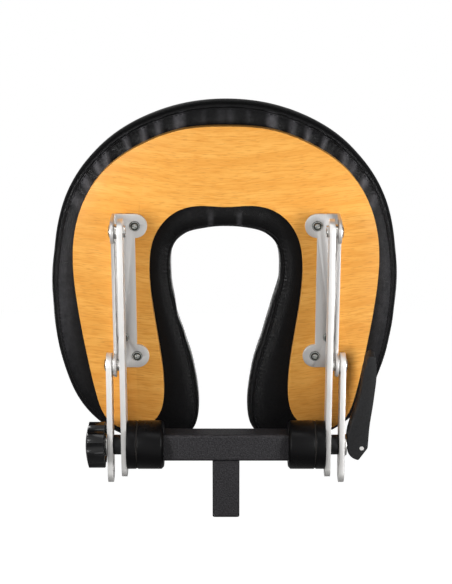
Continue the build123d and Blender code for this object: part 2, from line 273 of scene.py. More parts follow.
def speckleGroup():
    # fine random height and mask, for powder coat and moulded plastic
    group, start, end = newGroup("speckle", {"Scale": 900.0}, ("Height", "Mask"))
    grains = noise(group, objectPlace(group), start.outputs["Scale"], 3.0, 0.65)
    link(group, grains, end.inputs["Height"])
    link(group, mapRange(group, grains, 0.35, 0.68), end.inputs["Mask"])
    return group


def handlingGroup():
    # broad soft patches, for handling marks and uneven sheen
    group, start, end = newGroup("handling", {"Scale": 30.0, "Low": 0.0, "High": 1.0}, ("Value",))
    patches = noise(group, objectPlace(group), start.outputs["Scale"], 5.0, 0.6)
    marks = mapRange(group, patches, 0.3, 0.7, start.outputs["Low"], start.outputs["High"])
    link(group, marks, end.inputs["Value"])
    return group


def brushGroup():
    # long fine lines along the bars, for rolled and drawn metal
    group, start, end = newGroup("brushLines", {"Across": 2600.0, "Along": 60.0}, ("Height",))
    axes = axesOf(group, leaningPlace(group))
    drawnOut = addNode(group, "ShaderNodeCombineXYZ")
    for axis, speed in (("X", "Across"), ("Y", "Across"), ("Z", "Along")):
        link(group, mathNode(group, "MULTIPLY", axes[axis], start.outputs[speed]), drawnOut.inputs[axis])
    link(group, noise(group, drawnOut.outputs["Vector"], 1.0), end.inputs["Height"])
    return group


speckle = speckleGroup()
handling = handlingGroup()
brushLines = brushGroup()
print("shader groups ready")


# finishes
def startMaterial(name, colour, roughness, metallic=0.0, specular=0.5):
    material = bpy.data.materials.new(name)
    material.use_nodes = True
    tree = material.node_tree
    shader = tree.nodes["Principled BSDF"]
    shader.inputs["Base Color"].default_value = (*colour, 1)
    shader.inputs["Roughness"].default_value = roughness
    shader.inputs["Metallic"].default_value = metallic
    shader.inputs["Specular IOR Level"].default_value = specular
    return material, tree, shader


def useGroup(tree, group, **values):
    node = tree.nodes.new("ShaderNodeGroup")
    node.node_tree = group
    for key, value in values.items():
        node.inputs[key].default_value = value
    return node.outputs


def unevenSheen(tree, shader, scale, low, high):
    marks = useGroup(tree, handling, Scale=scale, Low=low, High=high)
    link(tree, marks["Value"], shader.inputs["Roughness"])


def bumpNormal(tree, shader, height, strength, distance):
    relief = addNode(tree, "ShaderNodeBump")
    relief.inputs["Strength"].default_value = strength
    relief.inputs["Distance"].default_value = distance
    link(tree, height, relief.inputs["Height"])
    link(tree, relief.outputs["Normal"], shader.inputs["Normal"])


def makePowderCoat():
    look = {"low": (0.007, 0.0066, 0.0073), "high": (0.040, 0.038, 0.042), "roughness": 0.46,
            "specular": 0.22, "grain": 720.0, "bump": (0.75, 0.0009)}
    material, tree, shader = startMaterial("powderCoat", look["low"], look["roughness"],
                                           specular=look["specular"])
    grains = useGroup(tree, speckle, Scale=look["grain"])
    link(tree, mixed(tree, look["low"], look["high"], grains["Mask"]), shader.inputs["Base Color"])
    bumpNormal(tree, shader, grains["Height"], *look["bump"])
    return material


def makeBlackPlastic(name="blackPlastic", colour=(0.003, 0.003, 0.0034), low=0.14, high=0.24, grain=0.06,
                     specular=0.44):
    # low and high are the roughness of its shiniest and dullest patches
    material, tree, shader = startMaterial(name, colour, low, specular=specular)
    unevenSheen(tree, shader, 45.0, low, high)
    grains = useGroup(tree, speckle, Scale=1400.0)
    bumpNormal(tree, shader, grains["Height"], grain, 0.0003)
    return material


def makeLeverPlastic():
    look = {"low": (0.012, 0.012, 0.0126), "high": (0.020, 0.020, 0.021), "roughness": 0.55,
            "specular": 0.22, "grain": 700.0, "bump": (0.25, 0.0004)}
    material, tree, shader = startMaterial("leverPlastic", look["low"], look["roughness"],
                                           specular=look["specular"])
    unevenSheen(tree, shader, 35.0, 0.48, 0.64)
    grains = useGroup(tree, speckle, Scale=look["grain"])
    link(tree, mixed(tree, look["low"], look["high"], grains["Mask"]), shader.inputs["Base Color"])
    bumpNormal(tree, shader, grains["Height"], *look["bump"])
    return material


def makeMetal(name, colour, low, high, lines=0.10, metallic=1.0):
    # low and high are the roughness of its shiniest and dullest patches
    material, tree, shader = startMaterial(name, colour, low, metallic)
    unevenSheen(tree, shader, 55.0, low, high)
    brush = useGroup(tree, brushLines)["Height"]
    darker = tuple(part * 0.84 for part in colour)
    link(tree, mixed(tree, darker, colour, brush), shader.inputs["Base Color"])
    bumpNormal(tree, shader, brush, lines, 0.0002)
    return material


def makeBeech():
    look = {
        "pale": (0.885, 0.452, 0.104), "warm": (0.75, 0.318, 0.054), "fleck": (0.46, 0.165, 0.030),
        "lowShadeColour": (0.58, 0.20, 0.034), "glue": (0.30, 0.13, 0.04), "specular": 0.15,
        "slope": -0.13,    # of the grain on each side of the middle
        "bend": 0.04,      # m, how softly the two slopes meet
        "waves": 0.008,    # m, how far slow waves shift the grain
        "lowShade": (0.12, -0.03, 0.0, 0.65),   # painted shade, darker and redder toward the bottom: between these heights (m), from none to this much
        # drawn out sideways, scale, detail, the mask's low and high, and its most
        "bands": (0.08, 130.0, 3.0, 0.32, 0.72, 0.85),
        "streaks": (0.075, 820.0, 4.0, 0.46, 0.64, 0.9),
        "rays": (0.14, 900.0, 1.0, 0.57, 0.74, 0.34),
        "layers": 105.0,
    }
    material, tree, shader = startMaterial("beech", look["pale"], 0.38, specular=look["specular"])
    place = leaningPlace(tree)
    axes = axesOf(tree, place)
    # the grain dips in the middle and rises to both sides
    square = mathNode(tree, "MULTIPLY_ADD", axes["X"], axes["X"], look["bend"] ** 2)
    dip = mathNode(tree, "MULTIPLY_ADD", mathNode(tree, "SQRT", square), look["slope"], axes["Z"])
    height = mathNode(tree, "MULTIPLY_ADD", noise(tree, place, 15.0), look["waves"], dip)

    def grain(stretch, scale, detail, low, high, most):
        # streaks along the grain: a noise drawn out sideways, cut to a mask
        drawnOut = addNode(tree, "ShaderNodeCombineXYZ")
        link(tree, mathNode(tree, "MULTIPLY", axes["X"], stretch), drawnOut.inputs["X"])
        link(tree, axes["Y"], drawnOut.inputs["Y"])
        link(tree, height, drawnOut.inputs["Z"])
        return mapRange(tree, noise(tree, drawnOut.outputs["Vector"], scale, detail), low, high, 0.0, most)

    streaks = grain(*look["streaks"])
    colour = mixed(tree, look["pale"], look["warm"], grain(*look["bands"]))
    colour = mixed(tree, colour, look["warm"], streaks)
    colour = mixed(tree, colour, look["fleck"], grain(*look["rays"]))
    # painted shade: darker and redder toward the bottom of the board
    colour = mixed(tree, colour, look["lowShadeColour"], mapRange(tree, height, *look["lowShade"]))
    # glued layers show on the sawn edge only
    layers = addNode(tree, "ShaderNodeTexWave", wave_type="BANDS", bands_direction="Y")
    layers.inputs["Scale"].default_value = look["layers"]
    layers.inputs["Distortion"].default_value = 0.4
    link(tree, place, layers.inputs["Vector"])
    striped = mixed(tree, look["pale"], look["glue"], layers.outputs["Fac"])
    normal = addNode(tree, "ShaderNodeTexCoord").outputs["Normal"]
    facing = mathNode(tree, "DOT_PRODUCT", normal, tuple(outward), kind="ShaderNodeVectorMath",
                      output="Value")
    sawn = mapRange(tree, mathNode(tree, "ABSOLUTE", facing), 0.55, 0.25, 0.0, 0.75)
    link(tree, mixed(tree, colour, striped, sawn), shader.inputs["Base Color"])
    unevenSheen(tree, shader, 40.0, 0.34, 0.46)
    bumpNormal(tree, shader, streaks, 0.10, 0.0002)
    return material


stitchPitch = 3.9  # mm


def makeLeather():
    look = {
        # the last of these colours is a painted highlight, for the tops of the folds and the outer strips
        "ground": (0.002, 0.002, 0.0022), "worn": (0.0056, 0.0055, 0.006), "highlightColour": (0.085, 0.083, 0.09),
        "specular": 0.12,
        "pebbles": 780.0, "uneven": 0.0016,    # grain scale, and how far (m) its cells are pushed about
        "ripples": 330.0, "rippled": 2.2,      # scale and height beside the pebbles'
        "reach": (-8.0, 12.0),                 # mm from the seam, where the puckers end
        "puckers": [(0.0, 0.0), (0.3, 0.0), (0.42, 0.8), (0.50, 1.0), (0.7, 0.0), (1.0, 0.0)],
        "puckered": 0.9,
        "bump": (0.32, 0.0005),
    }
    material, tree, shader = startMaterial("leather", look["ground"], 0.42, specular=look["specular"])
    place = objectPlace(tree)
    push = noise(tree, place, 260.0, output="Color")
    pushed = mathNode(tree, "MULTIPLY_ADD", push, (look["uneven"],) * 3, place, kind="ShaderNodeVectorMath")
    cells = addNode(tree, "ShaderNodeTexVoronoi", feature="DISTANCE_TO_EDGE")
    cells.inputs["Scale"].default_value = look["pebbles"]
    link(tree, pushed, cells.inputs["Vector"])
    pebble = mapRange(tree, cells.outputs["Distance"], 0.0, 0.22)
    # low ripples, longer sideways than upward
    stretched = mathNode(tree, "MULTIPLY", place, (0.45, 1.0, 1.0), kind="ShaderNodeVectorMath")
    ripples = noise(tree, stretched, look["ripples"], 3.0)
    relief = mathNode(tree, "MULTIPLY_ADD", ripples, look["rippled"], pebble)
    # small puckers at the stitches, strongest beside the seam
    along = addNode(tree, "ShaderNodeAttribute", attribute_name="alongSeam").outputs["Fac"]
    away = addNode(tree, "ShaderNodeAttribute", attribute_name="fromSeam").outputs["Fac"]
    wave = mathNode(tree, "SINE", mathNode(tree, "MULTIPLY", along, math.tau / stitchPitch))
    beside = levels(tree, mapRange(tree, away, *look["reach"]), look["puckers"])
    pucker = mathNode(tree, "MULTIPLY", wave, beside)
    height = mathNode(tree, "MULTIPLY_ADD", pucker, look["puckered"], relief)
    bumpNormal(tree, shader, height, *look["bump"])
    unevenSheen(tree, shader, 22.0, 0.30, 0.43)
    # the grain is a little paler on its high spots; painted highlight lies on the tops of the folds and on
    # the outer strips, in soft patches
    ground = mixed(tree, look["ground"], look["worn"], pebble)
    paintedHighlight = addNode(tree, "ShaderNodeAttribute", attribute_name="paintedHighlight").outputs["Fac"]
    patchy = useGroup(tree, handling, Scale=160.0, Low=0.35, High=1.0)["Value"]
    highlightMask = mathNode(tree, "MULTIPLY", paintedHighlight, patchy)
    link(tree, mixed(tree, ground, look["highlightColour"], highlightMask), shader.inputs["Base Color"])
    return material


powderCoat = makePowderCoat()
blackPlastic = makeBlackPlastic()
hubPlastic = makeBlackPlastic("hubPlastic", (0.0026, 0.0025, 0.0028), 0.24, 0.38, 0.16, 0.13)
spacerPlastic = makeBlackPlastic("spacerPlastic", (0.010, 0.010, 0.011), 0.38, 0.55, 0.2, 0.2)
frictionLining = makeBlackPlastic("frictionLining", (0.03, 0.027, 0.025), 0.8, 0.95, 0.4, 0.2)
leverPlastic = makeLeverPlastic()
barAluminium = makeMetal("barAluminium", (0.87, 0.855, 0.835), 0.42, 0.54, 0.10, 0.7)
bracketSteel = makeMetal("bracketSteel", (0.70, 0.685, 0.67), 0.38, 0.50, 0.06, 0.7)
zincSteel = makeMetal("zincSteel", (0.66, 0.65, 0.63), 0.20, 0.32, 0.05)
screwSteel = makeMetal("screwSteel", (0.55, 0.56, 0.53), 0.16, 0.26, 0.05)
# a dark steel for painted shade in the screw heads
paintedShadeSteel = makeMetal("paintedShadeSteel", (0.07, 0.075, 0.06), 0.3, 0.4, 0.05)
brass = makeMetal("brass", (0.72, 0.50, 0.22), 0.28, 0.40)
beech = makeBeech()
leather = makeLeather()
threadBlack = makeBlackPlastic("threadBlack", (0.006, 0.006, 0.007), 0.55, 0.7, 0.3, 0.1)
hookTape = makeBlackPlastic("hookTape", (0.02, 0.02, 0.02), 0.85, 0.95, 0.8)
foamCore = makeBlackPlastic("foamCore", (0.72, 0.66, 0.48), 0.9, 0.95, 0.8)

nodeFinishes = {
    "cross_tube": powderCoat, "stem_tube": powderCoat, "stem_end_plug": blackPlastic,
    "clutch_hub_left": hubPlastic, "clutch_hub_right": hubPlastic,
    "clutch_disc_left": hubPlastic, "clutch_disc_right": hubPlastic,
    "friction_rings": frictionLining, "arm_spacers": spacerPlastic,
    "long_arm_left": barAluminium, "long_arm_right": barAluminium,
    "short_arm_left": barAluminium, "short_arm_right": barAluminium,
    "bracket_left": bracketSteel, "bracket_right": bracketSteel, "bracket_screws": screwSteel,
    "upper_pivot_bolts": zincSteel, "upper_pivot_nuts": zincSteel, "upper_pivot_spacers": zincSteel,
    "lower_pivot_bolts": zincSteel, "lower_pivot_nuts": zincSteel, "lower_pivot_washers": zincSteel,
    "clamp_washers": zincSteel, "clamp_rod": zincSteel, "lever_pin": barAluminium,
    "cam_lever": leverPlastic, "knob": blackPlastic, "knob_insert": brass,
    "backing_board": beech, "hook_tape": hookTape,
    "cushion_cover": leather, "cushion_foam": foamCore,
}
for name, finish in nodeFinishes.items():
    for slot in nodes[name].material_slots:
        slot.material = finish
print("finishes set on", len(nodeFinishes), "nodes")

# edges of the hard parts, in mm
edgeRounding = {
    "long_arm_left": 0.5, "long_arm_right": 0.5, "short_arm_left": 0.5, "short_arm_right": 0.5,
    "bracket_left": 0.4, "bracket_right": 0.4, "backing_board": 0.7,
    "clutch_hub_left": 1.5, "clutch_hub_right": 1.5, "clutch_disc_left": 0.5, "clutch_disc_right": 0.5,
    "arm_spacers": 0.8, "clamp_washers": 0.3, "knob": 1.5, "lower_pivot_washers": 0.3,
    "upper_pivot_spacers": 0.3, "upper_pivot_nuts": 0.3, "lower_pivot_nuts": 0.3, "stem_end_plug": 0.4,
}
for name, width in edgeRounding.items():
    roundedCopy(name, width)

leverAxis = Vector(joints["lever_open"]["pos_m"])
leverLook = {"width": 18.0, "bore": 4.0, "across": 3.0, "rounding": 1.8, "segments": 4}  # mm


def leverRim(edge):
    # outer edges of the handle, cam and heel, clear of the pin's bore and the fork
    beside = [(vert.co - leverAxis).dot(outward) for vert in edge.verts]
    away = [(vert.co - leverAxis - outward * b).length for vert, b in zip(edge.verts, beside)]
    outer = [abs(abs(b) - leverLook["width"] / 2 * mm) < 0.1 * mm for b in beside]
    across = abs(beside[0] - beside[1]) > leverLook["across"] * mm and any(outer)
    return min(away) > leverLook["bore"] * mm and (all(outer) or across)


roundedCopy("cam_lever", leverLook["rounding"], leverLook["segments"], leverRim)
print("edges rounded on", len(edgeRounding) + 1, "nodes")


# pivot bolts and bracket screws
def acrossX(side, x, y, z):
    # a turned form standing outward on one side at a pivot
    return Matrix.Translation((side * x, y, z)) @ Matrix.Rotation(side * math.pi / 2, 4, "Y")


def pivotBolts(name, joint, seatX, tipX, look):
    bm = bmesh.new()
    pivot = Vector(joints[joint]["pos_m"])
    radius, shank = look["head"] / 2 * mm, look["shank"] / 2 * mm
    rise, rim, tip = look["rise"] * mm, look["rim"] * mm, look["tip"] * mm
    depth = tipX - seatX
    profile = [(0, depth), (shank - tip, depth), (shank, depth + tip), (shank, 0),
               (radius, 0), (radius, rim)]
    for step in range(1, look["domeSteps"]):
        turn = math.pi / 2 * step / look["domeSteps"]
        profile.append((radius * math.cos(turn), rim + (rise - rim) * math.sin(turn)))
    profile.append((0, rise))
    for side in (-1, 1):
        turned(bm, profile, acrossX(side, seatX, pivot.y, pivot.z))
    piece = newPiece(name + "_finished", bm, "headrest", [zincSteel], place=False)
    piece.data.set_sharp_from_angle(angle=math.radians(40))
    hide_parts(name)


boltLook = {
    "head": 12.4, "rise": 2.4, "rim": 0.35, "shank": 6.0, "tip": 0.4, "domeSteps": 8,  # mm
    "pastArm": 2.5, "pastLeaf": 5.8,  # how far the tips stand inboard
}
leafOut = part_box("bracket_right")[1][0]
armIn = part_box("long_arm_right")[0][0]
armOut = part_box("short_arm_right")[1][0]
pivotBolts("upper_pivot_bolts", "head_tilt", leafOut, armIn - boltLook["pastArm"] * mm, boltLook)
pivotBolts("lower_pivot_bolts", "short_link_pivot", armOut, leafOut - boltLook["pastLeaf"] * mm, boltLook)

screwLook = {
    "places": [(82.5, 78.5), (82.5, 203.5), (94.7, 96.7)],  # mm, sideways and above the rod
    "seat": 24.7,            # mm from the rod axis to the bracket's face
    # radius and height from the tip of the thread, over the washer face, to the top of the head
    "profile": [(0, -9.0), (1.2, -8.4), (2.0, -7.6), (2.0, 0), (4.7, 0), (4.8, 0.2), (4.4, 0.95),
                (3.75, 1.05), (3.5, 0.4), (2.95, 0.3), (2.65, 1.5), (2.2, 2.1), (1.2, 2.4), (0, 2.45)],
    "shadedRings": ((2.6, 3.62), (4.45, 6.0)),  # rings of painted shade, in the groove and at the rim, mm from the screw's axis
    "turns": [20, 65, 40, 80, 10, 50],  # degrees, one for each screw
    "slot": (4.3, 0.95, 1.7),           # length, width and depth of each stroke of the cross
    "top": 2.6,                         # mm from the seat to where the strokes are cut from
}


def bracketScrews(look):
    heads, cutter = bmesh.new(), bmesh.new()
    count = 0
    for side in (-1, 1):
        for x, z in look["places"]:
            stand = drawing @ Matrix.Translation(Vector((side * x, look["seat"], z)) * mm)
            stand = stand @ Matrix.Rotation(math.pi / 2, 4, "X") @ Matrix.Scale(mm, 4)
            turned(heads, look["profile"], stand)
            for quarter in (0, 90):
                cut = bmesh.ops.create_cube(cutter, size=1)
                turn = Matrix.Rotation(math.radians(look["turns"][count] + quarter), 4, "Z")
                length, width, depth = look["slot"]
                shape = Matrix.Translation((0, 0, look["top"])) @ turn
                shape = shape @ Matrix.Diagonal((length, width, depth * 2, 1))
                bmesh.ops.transform(cutter, matrix=stand @ shape, verts=cut["verts"])
            count += 1
    piece = newPiece("bracket_screws_finished", heads, "headrest", [screwSteel], place=False)
    tool = newPiece("recess", cutter, "headrest", [zincSteel], place=False)
    carve = piece.modifiers.new("carve", "BOOLEAN")
    carve.object = tool
    carve.operation = "DIFFERENCE"
    carve.solver = "EXACT"
    carve.use_self = True
    mesh = bpy.data.meshes.new_from_object(piece.evaluated_get(bpy.context.evaluated_depsgraph_get()))
    piece.modifiers.clear()
    piece.data = mesh
    piece.data.set_sharp_from_angle(angle=math.radians(35))
    bpy.data.objects.remove(tool)
    # painted shade: the groove and the rim of each head get the dark steel
    piece.data.materials.append(paintedShadeSteel)
    toDrawing = drawing.inverted()
    for face in piece.data.polygons:
        spot = toDrawing @ face.center / mm
        away = min(math.hypot(abs(spot.x) - x, spot.z - z) for x, z in look["places"])
        if any(low < away < high for low, high in look["shadedRings"]):
            face.material_index = 1
    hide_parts("bracket_screws")


bracketScrews(screwLook)
print("bolts and screws placed")


# cushion
cushion = {
    # half outline in mm, sideways and up from the clamp rod: outer side, then back up the opening
    "outer": [(0, 312.8), (50, 306), (95, 285.5), (128, 255), (149, 217), (159.5, 166), (160.5, 120),
              (154.5, 74), (141, 33), (121.5, 6), (95, -11), (66, -17)],
    "inner": [(66, -17), (42, -13.3), (27, -1.2), (23.2, 24), (27.4, 60), (35.4, 91), (43, 121),
              (48.8, 150), (47.3, 177), (36.5, 190.2), (18, 195.5), (0, 197)],
    "back": 38.9,            # mm from the rod axis to the flat back
    "stations": 160,         # along each half of the outline
    # rings are (in from the outline, out from the flat back); the two lists meet in the seam
    "skin": [(4.3, 4.6), (4.1, 3.8), (3.3, 3.4), (2.2, 4.0), (1.3, 5.6), (0.6, 8.2), (0.4, 11), (0.7, 16),
             (1.4, 22), (2.7, 29), (4.5, 36), (6.8, 42.5), (9.7, 48.5), (13.6, 53.5), (18.2, 57),
             (23.5, 59.2)],
    "panel": [(22, 0), (18, -0.4), (14.5, -0.3), (11.4, 0.5), (8.9, 1.6), (7.4, 2.4), (6.5, 3.2),
              (6.0, 2.9), (5.4, 2.5), (4.85, 2.8), (4.5, 3.7)],
    "across": 12,            # faces across the front, between the innermost rings
    "acrossBack": 6,
    "backInset": 24,         # mm, a stand-in distance for the middle of the back
    "crown": 3.4,            # how much the front rises between its edges
    "crownWidth": 70,        # where the front is narrower than this, it rises less
    "seamDepth": 6,          # how far out from the back the skin follows the seam's wander
    # how far the seam wanders from its usual distance to the edge
    "seamOnTop": -0.5, "seamOnSides": 0.6, "seamAtBrow": -2.8, "seamOnLegs": (-2.0, 1.2),
    # the legs hang a little to one side: (height, mm sideways)
    "sway": [(-20, -2.8), (60, -2.9), (130, -1.6), (170, -1.0), (260, -0.8), (310, 0)],
    "pressure": 4.0,
    "slack": -0.012,         # negative shrink leaves the cover a little larger than its filling
    "frames": 20,
    "maxMove": 2.2,          # mm
    "evening": 14,           # rounds of averaging
    "paintedSideSheen": 0.35,     # how much painted sheen lies on the outer strips
    "fill": 0.8,
    # folds gathered into the underside: sideways (mm) at the seam, drift toward the middle per mm,
    # width and height
    "folds": [(4, 0.0, 6, 0.8), (20, 0.05, 4, 0.7), (42, 0.10, 5.5, 1.9), (61, 0.20, 3.8, 1.6),
              (75, 0.25, 3.4, 1.8), (91, 0.42, 2.6, 2.0), (97, 0.05, 2.6, -0.8), (109, 0.30, 3.4, 1.7),
              (118, 0.55, 2.8, 1.8), (129, 0.60, 3.0, 1.8), (139, 0.70, 3.0, 1.2)],
    "browFolds": [(13, 0.0, 3.2, 1.0), (30, 0.0, 3, 0.4)],
    "foldsAbove": (150, 185),  # mm, heights from which the outer strip and the brow are folded
    "foldReach": (0.05, 24),   # mm in from the seam
    "wrinkles": 0.16,          # mm, small ones all along the seam
}


def readOff(table, value):
    # straight-line reading of a short table of (where, how much)
    for (low, first), (high, second) in zip(table[:-1], table[1:]):
        if value <= high:
            share = max((value - low) / (high - low), 0)
            return first + (second - first) * share
    return table[-1][1]


def outlineWithNormals(settings):
    # points and inward directions from the middle of the top round one leg and back
    outer = [Vector(place) for place in settings["outer"]]
    inner = [Vector(place) for place in settings["inner"]]
    mirrored = [Vector((-place.x, place.y)) for place in (outer[1], inner[-2])]
    outer, inner = (smoothThrough(outer, settings["stations"], mirrored[0], inner[1]),
                    smoothThrough(inner, settings["stations"], outer[-2], mirrored[1]))
    whole = outer + inner[1:]
    last = len(whole) - 1
    result = []
    for i, point in enumerate(whole):
        ahead = whole[min(i + 1, last)] - whole[max(i - 1, 0)]
        if i in (0, last):
            ahead = Vector((1, 0)) if i == 0 else Vector((-1, 0))
        inward = Vector((ahead.y, -ahead.x)).normalized()
        result.append((point, inward))
    # ease the directions so that rings drawn far in stay evenly spaced round the leg ends
    rounds = 6
    for _ in range(rounds):
        eased = [result[0]]
        for i in range(1, last):
            mean = (result[i - 1][1] + result[i][1] * 2 + result[i + 1][1]).normalized()
            eased.append((result[i][0], mean))
        eased.append(result[last])
        result = eased
    return result


def seamShift(settings, index, side):
    # the seam wanders a little from an even distance to the edge
    share = index / settings["stations"]
    if share <= 1:
        return settings["seamOnTop"] + (settings["seamOnSides"] - settings["seamOnTop"]) * min(share * 2, 1)
    share -= 1
    leg = settings["seamOnLegs"][side > 0]
    wander = settings["seamAtBrow"] * share ** 3 + leg * (1 - share ** 3)
    start = settings["seamOnSides"]
    return start + (wander - start) * min(share * 6, 1)


def cushionSection(settings, path, row, side):
    # points round one cross section: outer skin, front, opening skin, then the back panel
    count = settings["stations"]
    seamInset = settings["skin"][0][0]
    sides = []
    for index in (row, 2 * count - row):
        point, inward = path[index]
        shift = seamShift(settings, index, side)
        skin = []
        for inset, depth in settings["skin"]:
            follows = min(inset / seamInset, 1) * (depth < settings["seamDepth"])
            place = point + inward * (inset + shift * follows)
            skin.append(Vector((place.x, depth, place.y)))
        panel = []
        for inset, depth in settings["panel"]:
            place = point + inward * (inset + shift)
            panel.append(Vector((place.x, depth, place.y)))
        sides.append((skin, panel))
    (outerSkin, outerPanel), (innerSkin, innerPanel) = sides
    front = []
    width = (outerSkin[-1] - innerSkin[-1]).length
    rise = settings["crown"] * min(width / settings["crownWidth"], 1)
    for k in range(1, settings["across"]):
        share = k / settings["across"]
        spot = outerSkin[-1].lerp(innerSkin[-1], share)
        spot.y += rise * math.sin(math.pi * share)
        front.append(spot)
    back = []
    for k in range(1, settings["acrossBack"]):
        back.append(innerPanel[0].lerp(outerPanel[0], k / settings["acrossBack"]))
    return outerSkin + front + innerSkin[::-1] + innerPanel[::-1] + back + outerPanel + [outerSkin[0]]


def cushionForm(settings):
    path = outlineWithNormals(settings)
    count = settings["stations"]
    sections = {(row, side): cushionSection(settings, path, row, side)
                for row in range(count + 1) for side in (-1, 1)}
    columns = len(sections[0, 1])
    skinCount = len(settings["skin"])
    panelCount = len(settings["panel"])
    innerSeam = 2 * skinCount + settings["across"] - 2
    seamInset = settings["skin"][0][0]
    walked = [0.0]
    for (before, _), (after, _) in zip(path[:-1], path[1:]):
        walked.append(walked[-1] + (after - before).length)
    bm = bmesh.new()
    fromSeam = bm.verts.layers.float.new("fromSeam")  # mm in from the seam, negative on the roll
    alongSeam = bm.verts.layers.float.new("alongSeam")
    held = bm.verts.layers.float.new("held")
    inner = bm.verts.layers.float.new("inner")
    bmesh.ops.create_grid(bm, x_segments=2 * count, y_segments=columns - 1, size=1)
    for vert in bm.verts:
        row = round((vert.co.x + 1) * count) - count
        column = round((vert.co.y + 1) / 2 * (columns - 1))
        side = -1 if row < 0 else 1
        spot = sections[abs(row), side][column]
        vert.co = Vector((side * spot.x, settings["back"] + spot.y, spot.z)) * mm
        fromOuter = columns - 1 - column
        fromInner = column - innerSeam
        near = min(fromOuter, abs(fromInner))
        onOpening = skinCount + settings["across"] / 2 < column < innerSeam + panelCount + 3
        vert[inner] = float(onOpening)
        vert[alongSeam] = walked[2 * count - abs(row)] if onOpening else walked[abs(row)]
        vert[fromSeam] = -30.0  # far out on the front, unless it is near the seam
        if fromInner >= 0 or column == 0:
            vert[held] = 1.0
            onPanel = 0 < near <= panelCount
            middle = settings["backInset"] if near else seamInset
            inset = settings["panel"][panelCount - near][0] if onPanel else middle
            vert[fromSeam] = inset - seamInset
        else:
            ring = min(column, abs(fromInner))
            if ring < skinCount:
                inset, depth = settings["skin"][ring]
                vert[fromSeam] = -(depth + seamInset - inset)
    bmesh.ops.remove_doubles(bm, verts=bm.verts, dist=0.03 * mm)
    bmesh.ops.dissolve_degenerate(bm, dist=0.01 * mm, edges=bm.edges)
    bmesh.ops.recalc_face_normals(bm, faces=bm.faces)
    return bm


def inflate(piece, settings):
    # the cover is blown up over its filling, with the seam and the underside held
    start = [vert.co.copy() for vert in piece.data.vertices]
    held = [item.value > 0.5 for item in piece.data.attributes["held"].data]
    group = piece.vertex_groups.new(name="held")
    group.add([i for i, still in enumerate(held) if still], 1.0, "REPLACE")
    cloth = piece.modifiers.new("inflate", "CLOTH")
    cloth.settings.quality = 5
    cloth.settings.mass = 0.4
    cloth.settings.tension_stiffness = 20
    cloth.settings.compression_stiffness = 20
    cloth.settings.bending_stiffness = 1.5
    cloth.settings.shrink_min = settings["slack"]
    cloth.settings.use_pressure = True
    cloth.settings.uniform_pressure_force = settings["pressure"]
    cloth.settings.vertex_group_mass = "held"
    cloth.settings.effector_weights.gravity = 0
    cloth.collision_settings.use_collision = False
    for number in range(settings["frames"]):
        bpy.context.scene.frame_set(number + 1)
    shot = piece.evaluated_get(bpy.context.evaluated_depsgraph_get())
    moved = [vert.co.copy() for vert in shot.data.vertices]
    piece.modifiers.remove(cloth)
    piece.vertex_groups.clear()
    bpy.context.scene.frame_set(1)
    most = settings["maxMove"] * mm
    steps = [after - before for before, after in zip(start, moved)]
    steps = [step * min(most / max(step.length, 1e-9), 1) for step in steps]
    # even out the swelling so that the outline stays a clean curve
    for _ in range(settings["evening"]):
        sums = [step.copy() for step in steps]
        counts = [1] * len(steps)
        for edge in piece.data.edges:
            a, b = edge.vertices
            sums[a] += steps[b]
            sums[b] += steps[a]
            counts[a] += 1
            counts[b] += 1
        steps = [step if still else total / count
                 for step, total, count, still in zip(steps, sums, counts, held)]
    for vert, before, step in zip(piece.data.vertices, start, steps):
        vert.co = before + step


def refine(piece):
    # one subdivision, kept in the mesh
    finer = piece.modifiers.new("finer", "SUBSURF")
    finer.levels = 1
    finer.render_levels = 1
    mesh = bpy.data.meshes.new_from_object(piece.evaluated_get(bpy.context.evaluated_depsgraph_get()))
    piece.modifiers.clear()
    old = piece.data
    piece.data = mesh
    bpy.data.meshes.remove(old)


def gatherFolds(piece, settings):
    # folds run in from the seam across the strip that shows round the board, and the legs sway; painted
    # highlight is marked on the folds and the outer strips
    toDrawing = drawing.inverted()
    highlightMask = piece.data.attributes.new("paintedHighlight", "FLOAT", "POINT").data
    seam = piece.data.attributes["fromSeam"].data
    opening = piece.data.attributes["inner"].data
    nearest, farthest = settings["foldReach"]
    for vert, item, inner, mark in zip(piece.data.vertices, seam, opening, highlightMask):
        spot = toDrawing @ vert.co / mm
        vert.co.x += readOff(settings["sway"], spot.z) * mm
        inward = item.value
        if not nearest < inward < farthest:
            continue
        # full from 2 mm inside the seam, and gone under the board
        reach = min(inward / 2.0, 1.0) * max(min((19 - inward) / 6, 1), 0)
        onOpening = inner.value > 0.5
        folds = settings["browFolds" if onOpening else "folds"]
        rise = 0.0
        if spot.z > settings["foldsAbove"][onOpening]:
            for sideways, drift, width, height in folds:
                rise += height * bump(abs(spot.x), sideways - drift * inward, width)
        mark.value = max(min((rise * reach - 0.4) / 1.3, 1), 0)  # painted highlight on the tops of the folds
        # painted sheen on the outer strips, strongest part way up the sides
        if not onOpening:
            widest = bump(spot.z, 130, 80) * min(abs(spot.x) / 150, 1) ** 4
            mark.value += settings["paintedSideSheen"] * reach * widest
        around = math.atan2(spot.x, spot.z - 140) * 60  # how far round the cushion
        uneven = math.sin(around * 1.9 + 0.8 * math.sin(around * 0.37))
        rise += settings["wrinkles"] * uneven * math.exp(-inward / 5)
        vert.co -= outward * rise * reach * mm


def seamPlaces(settings, inset, pitch, side):
    # evenly spaced places and directions along the seam on one side, sideways and up
    path = outlineWithNormals(settings)
    line = [point + inward * (inset + seamShift(settings, i, side)) for i, (point, inward) in enumerate(path)]
    length = sum((b - a).length for a, b in zip(line[:-1], line[1:]))
    count = round(length / pitch)
    even = smoothThrough(line[::2], count)  # every second point is enough
    return [((a + b) / 2, (b - a).normalized()) for a, b in zip(even[:-1], even[1:])]


